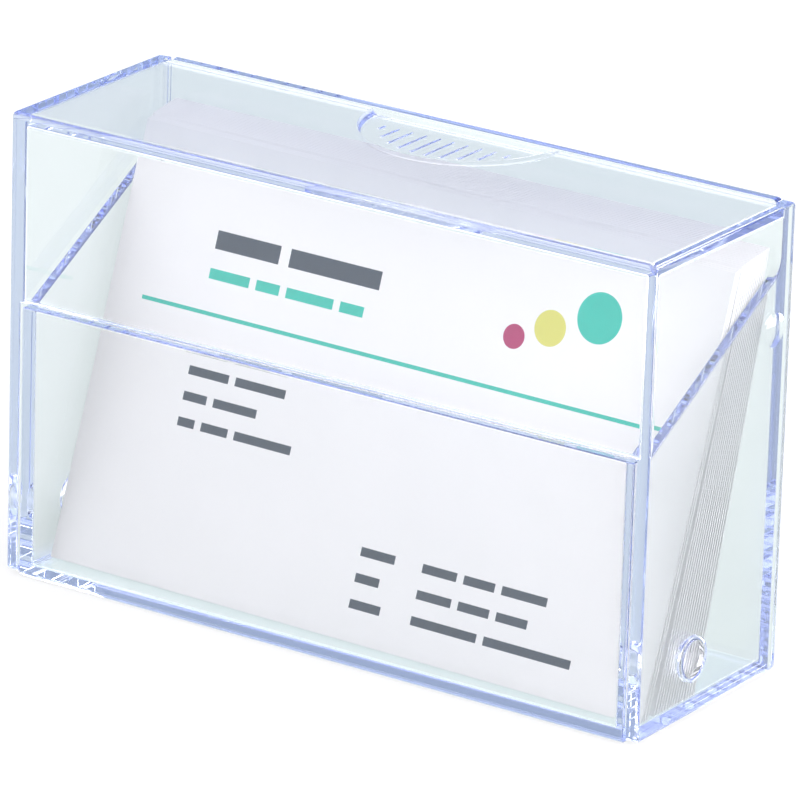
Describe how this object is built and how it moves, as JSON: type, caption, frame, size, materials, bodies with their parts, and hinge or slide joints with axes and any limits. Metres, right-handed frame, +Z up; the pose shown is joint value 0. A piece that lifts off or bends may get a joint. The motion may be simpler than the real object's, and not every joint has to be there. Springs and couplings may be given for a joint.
{
  "type": "business card box",
  "caption": "Clear hinged box for business cards: a tray with slanting side walls, a lid that swings forward and down on pivots moulded on the tray, and a leaning fan of printed cards.",
  "frame": {"origin": "under the middle of the box, on the surface that it stands on", "axes": "+X to the right along the cards, +Y from the front wall to the back wall, +Z up; the lid is closed at rest"},
  "size_m": [0.092, 0.0308, 0.0595],
  "materials": {
    "clear_plastic": "polished, water-clear polystyrene",
    "card_stock": "smooth white card, printed on the front"
  },
  "bodies": {
    "base": {"base_tray": "clear_plastic", "card_01": "card_stock", "card_02": "card_stock", "card_03": "card_stock", "card_04": "card_stock", "card_05": "card_stock", "card_06": "card_stock", "card_07": "card_stock", "card_08": "card_stock", "card_09": "card_stock", "card_10": "card_stock", "card_11": "card_stock", "card_12": "card_stock", "card_13": "card_stock", "card_14": "card_stock", "card_15": "card_stock", "card_16": "card_stock", "card_17": "card_stock", "card_18": "card_stock"},
    "lid": {"lid": "clear_plastic"}
  },
  "joints": [
    {"name": "lid_hinge", "type": "hinge", "parent": "base", "child": "lid", "pos_m": [0, -0.0034, 0.0075], "axis": [1, 0, 0], "range_deg": [0, 297]}
  ]
}
